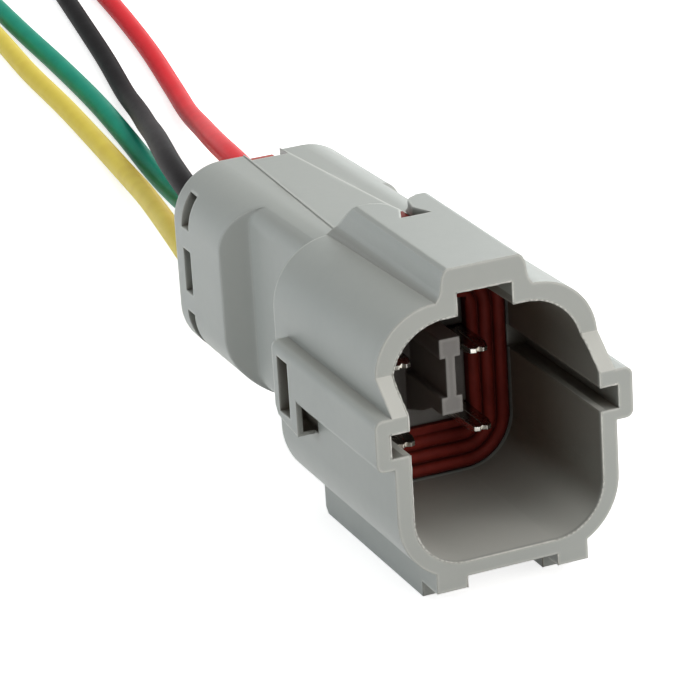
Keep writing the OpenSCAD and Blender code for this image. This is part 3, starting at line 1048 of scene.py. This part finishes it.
LEAD_RUNS: dict[LeadColour, Run] = {
    LeadColour.RED: Run(1, True, (
        (5.5, 45, 18.9), (8.5, 60, 16.9), (12.5, 75, 13.6), (17, 90, 9.8), (21.5, 105, 6.1),
        (25.7, 121, 3), (29.6, 137, 1.5), (33.1, 155, 1.4), (36.1, 174, 1.4), (38.5, 192, 1.4),
    )),
    LeadColour.BLACK: Run(-1, True, (
        (-2.5, 45, 19.2), (0.8, 60, 17.6), (5.1, 75, 14.8), (9.7, 90, 11.3), (14.2, 105, 7.6),
        (18.8, 121, 4.3), (22.7, 137, 1.9), (26.5, 155, 1.4), (29.9, 174, 1.4), (33.4, 194, 1.4),
    )),
    LeadColour.YELLOW: Run(-1, False, (
        (-2.5, 45, 10.5), (0.7, 60, 8.8), (4.3, 75, 6.4), (7.7, 90, 4.1), (10.5, 105, 2.2),
        (12.6, 121, 1.4), (14, 137, 1.4), (15.2, 155, 1.4), (16.7, 170, 1.4), (18, 184, 1.4),
    )),
    LeadColour.GREEN: Run(1, False, (
        (5.1, 45, 10.2), (7.1, 60, 8.1), (9.5, 75, 5.4), (12, 90, 3), (14.4, 105, 1.6),
        (16.6, 121, 1.4), (18.4, 137, 1.4), (19.8, 155, 1.4), (21, 175, 1.4), (22.6, 197, 1.4),
    )),
}


@dataclass
class Pigtail:
    """The four leads as they leave the barrel, drop and run along the surface; in millimetres."""

    pitch_x: float = 8.3
    start_y: float = 15.25
    exit_y: float = 31.0
    row_low: float = 11.0
    row_high: float = 19.3

    def build(self) -> None:
        """Builds all four leads."""
        for colour, run in LEAD_RUNS.items():
            x = run.side * self.pitch_x / 2
            z = self.row_high if run.upper else self.row_low
            Lead(colour, [(x, self.start_y, z), (x, self.exit_y, z), *run.points]).build()


# ------------------------------------------------------------------ moulded body and its inserts


@dataclass
class DressedNodes:
    """Pieces that keep their solids and get their finish."""

    frame: dict[str, Any]
    finishes: dict[str, Any] = field(
        default_factory=lambda: {
            "housing": HOUSING_GREY,
            "front_holder": HOLDER_GREY,
            "rear_cover": COVER_GREY,
            "interface_seal": RING_RED,
            "wire_seal": MAT_RED,
            "terminal_upper_left": CONTACT_TIN,
            "terminal_upper_right": CONTACT_TIN,
            "terminal_lower_left": CONTACT_TIN,
            "terminal_lower_right": CONTACT_TIN,
        }
    )

    def build(self) -> None:
        """Gives each piece its finish; pieces of one finish share the material."""
        made: dict[str, bpy.types.Material] = {}
        for name, finish in self.finishes.items():
            if finish.name not in made:
                made[finish.name] = finish.material()
            for slot in self.frame["nodes"][name].material_slots:
                slot.material = made[finish.name]
            LOG.info("%s: %s", name, finish.name)


@dataclass(frozen=True)
class RimEdge:
    """One edge between the mouth's rim and the wall inside it."""

    start: Vector
    end: Vector
    rim: Vector
    wall: Vector


@dataclass
class MouthFlash:
    """Fine, uneven line of flash round the inner edge of the mouth, left where the core met it."""

    frame: dict[str, Any]
    width: float = 0.14 * MM
    height: float = 0.075 * MM
    step: float = 0.3 * MM
    reach: float = 4.2 * MM
    middle: Triple = (0.0, -0.02925, 0.016)
    waves: float = 900.0
    ripples: float = 4000.0
    weld: float = 0.001 * MM
    front_facing: float = 0.6
    wall_slant: float = 0.3

    def edges(self) -> list[RimEdge]:
        """Finds the inner edges of the mouth in the housing's own mesh.

        Returns:
            The edges.
        """
        shape = bmesh.new()
        shape.from_mesh(self.frame["nodes"]["housing"].data)
        bmesh.ops.remove_doubles(shape, verts=shape.verts, dist=self.weld)
        shape.normal_update()
        middle = Vector(self.middle)
        found = []
        for edge in shape.edges:
            if len(edge.link_faces) != 2:
                continue
            rim, wall = sorted((f.normal.copy() for f in edge.link_faces), key=lambda n: n.y)
            start, end = (v.co.copy() for v in edge.verts)
            centre = (start + end) / 2
            inner = wall.dot(middle - centre) > 0.0 and centre.y < middle.y + self.reach
            if rim.y < -self.front_facing and abs(wall.y) < self.wall_slant and inner:
                found.append(RimEdge(start, end, rim, wall))
        shape.free()
        return found

    def ring(self, edge: RimEdge, point: Vector) -> list[Vector]:
        """Four corners round one point of an edge, larger or smaller at random.

        Args:
            edge: The edge.
            point: The point on it.

        Returns:
            The corners, from the rim round to the wall.
        """
        swell = (
            0.55
            + 0.9 * abs(noise.noise(point * self.waves))
            + 0.5 * noise.noise(point * self.ripples)
        )
        rise, lean = self.height * swell, self.width * (0.7 + 0.5 * swell)
        root = self.height * 0.3
        return [
            point - edge.wall * lean - edge.rim * root,
            point - edge.wall * lean * 0.45 + edge.rim * rise,
            point + edge.wall * rise * 0.7 + edge.rim * rise * 0.6,
            point - edge.rim * lean - edge.wall * root,
        ]

    def build(self) -> None:
        """Sweeps a small uneven ridge along each of those edges."""
        shell = Shell()
        edges = self.edges()
        for edge in edges:
            steps = max(1, round((edge.end - edge.start).length / self.step))
            base = len(shell.verts)
            for k in range(steps + 1):
                shell.verts += self.ring(edge, edge.start.lerp(edge.end, k / steps))
            shell.tube(base, steps, 4)
            tail = base + 4 * steps
            shell.faces += [(base + 3, base + 2, base + 1, base), (tail, tail + 1, tail + 2, tail + 3)]
        mesh = shell.mesh("mouth_flash_mesh")
        shape = bmesh.new()
        shape.from_mesh(mesh)
        bmesh.ops.recalc_face_normals(shape, faces=shape.faces)
        shape.to_mesh(mesh)
        shape.free()
        # Its pale colour is painted highlight.
        flash = show("mouth_flash", mesh, FLASH_HIGHLIGHT_GREY.material())
        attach(flash, "root")
        LOG.info("mouth_flash: %d edges", len(edges))


# ------------------------------------------------------------------ studio


@dataclass(frozen=True)
class Lamp:
    """One soft square lamp: its place and side in metres, its power in watts, its hue."""

    name: str
    place: Triple
    size: float
    power: float
    hue: Triple

    def build(self, target: Vector) -> None:
        """Hangs the lamp and turns it to a point.

        Args:
            target: What it faces.
        """
        data = bpy.data.lights.new(self.name, "AREA")
        data.shape = "SQUARE"
        data.size = self.size
        data.energy = self.power
        data.color = self.hue
        away = Vector(self.place) - target
        turn = away.to_track_quat("Z", "Y").to_matrix().to_4x4()
        show(self.name, data).matrix_world = Matrix.Translation(self.place) @ turn


LAMPS = (
    Lamp("key_overhead", (0.0, 0.05, 0.70), 0.60, 1.6, (1.0, 0.98, 0.96)),
    Lamp("fill_front_top", (0.0, -0.50, 0.55), 0.45, 1.2, (1.0, 0.98, 0.96)),
    Lamp("fill_front_right", (0.45, -0.60, 0.22), 0.40, 2.2, (1.0, 0.95, 0.92)),
    Lamp("side_rear_left", (-0.60, 0.40, 0.18), 0.30, 1.5, (0.87, 0.95, 1.0)),
    Lamp("side_rear_right", (0.50, 0.50, 0.40), 0.45, 3.4, (0.95, 1.0, 1.0)),
)


@dataclass
class Studio:
    """Camera, white floor, white surroundings and soft lamps."""

    eye: Triple = (-0.139646, -0.329180, 0.155429)
    right: Triple = (0.91334655, -0.40294562, -0.05859103)
    up: Triple = (0.1973768, 0.3122677, 0.92926384)
    lens: float = 194.85
    sensor: float = 36.0
    nearest: float = 0.01
    farthest: float = 20.0
    target: Triple = (0.0, 0.02, 0.015)
    floor_size: float = 6.0
    floor_white: Triple = (0.82, 0.82, 0.82)
    near_glow: Triple = (0.78, 0.78, 0.78)
    far_glow: Triple = (1.0, 1.0, 1.0)
    glow_from: float = 0.3
    glow_to: float = 0.8
    ambient: float = 0.03
    mirrored: float = 0.5

    def build_camera(self) -> None:
        """Makes the camera and sets it as the scene's own."""
        data = bpy.data.cameras.new("camera")
        data.lens = self.lens
        data.sensor_width = self.sensor
        data.clip_start = self.nearest
        data.clip_end = self.farthest
        right, up = Vector(self.right), Vector(self.up)
        turn = Matrix((right, up, right.cross(up))).transposed().to_4x4()
        camera = show("camera", data)
        camera.matrix_world = Matrix.Translation(self.eye) @ turn
        bpy.context.scene.camera = camera

    def build_floor(self) -> None:
        """Makes the white floor, which keeps the object's soft shadow."""
        h = self.floor_size / 2
        mesh = bpy.data.meshes.new("floor_mesh")
        mesh.from_pydata([(-h, -h, 0), (h, -h, 0), (h, h, 0), (-h, h, 0)], [], [(0, 1, 2, 3)])
        b = NodeBench(bpy.data.materials.new("floor_white"))
        distance = b.make("ShaderNodeVectorMath", {"operation": "LENGTH"}, {0: b.place()}, 1)
        white = b.tint(distance.spread(self.glow_from, self.glow_to), self.near_glow, self.far_glow)
        seen = (b.ray("Is Camera Ray") + b.ray("Is Glossy Ray")).clamped()
        diffuse = b.make("ShaderNodeBsdfDiffuse", {}, {"Color": self.floor_white})
        glow = b.make("ShaderNodeEmission", {}, {"Color": white, "Strength": seen})
        both = b.make("ShaderNodeAddShader", {}, {0: diffuse, 1: glow})
        floor = show("floor", mesh, b.end(both))

    def build_world(self) -> None:
        """Makes the surroundings: white where seen, softer where they light."""
        world = bpy.data.worlds.new("surroundings")
        bpy.context.scene.world = world
        b = NodeBench(world)
        seen = b.ray("Is Camera Ray") + b.ray("Is Glossy Ray") * self.mirrored
        strength = seen * (1.0 - self.ambient) + self.ambient
        back = b.make("ShaderNodeBackground", {}, {"Color": (1.0, 1.0, 1.0), "Strength": strength})
        b.end(back, "ShaderNodeOutputWorld")

    def build_lights(self) -> None:
        """Hangs the lamps and sets the plain view transform."""
        for lamp in LAMPS:
            lamp.build(Vector(self.target))
        bpy.context.scene.view_settings.view_transform = "Standard"


def main() -> None:
    """Loads the frame, then builds the camera, the leads and every other piece in order."""
    logging.basicConfig(level=logging.INFO, format="%(name)s: %(message)s")
    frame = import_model()
    studio = Studio()
    studio.build_camera()
    Pigtail().build()
    DressedNodes(frame).build()
    MouthFlash(frame).build()
    studio.build_floor()
    studio.build_world()
    studio.build_lights()


if __name__ == "__main__":
    main()
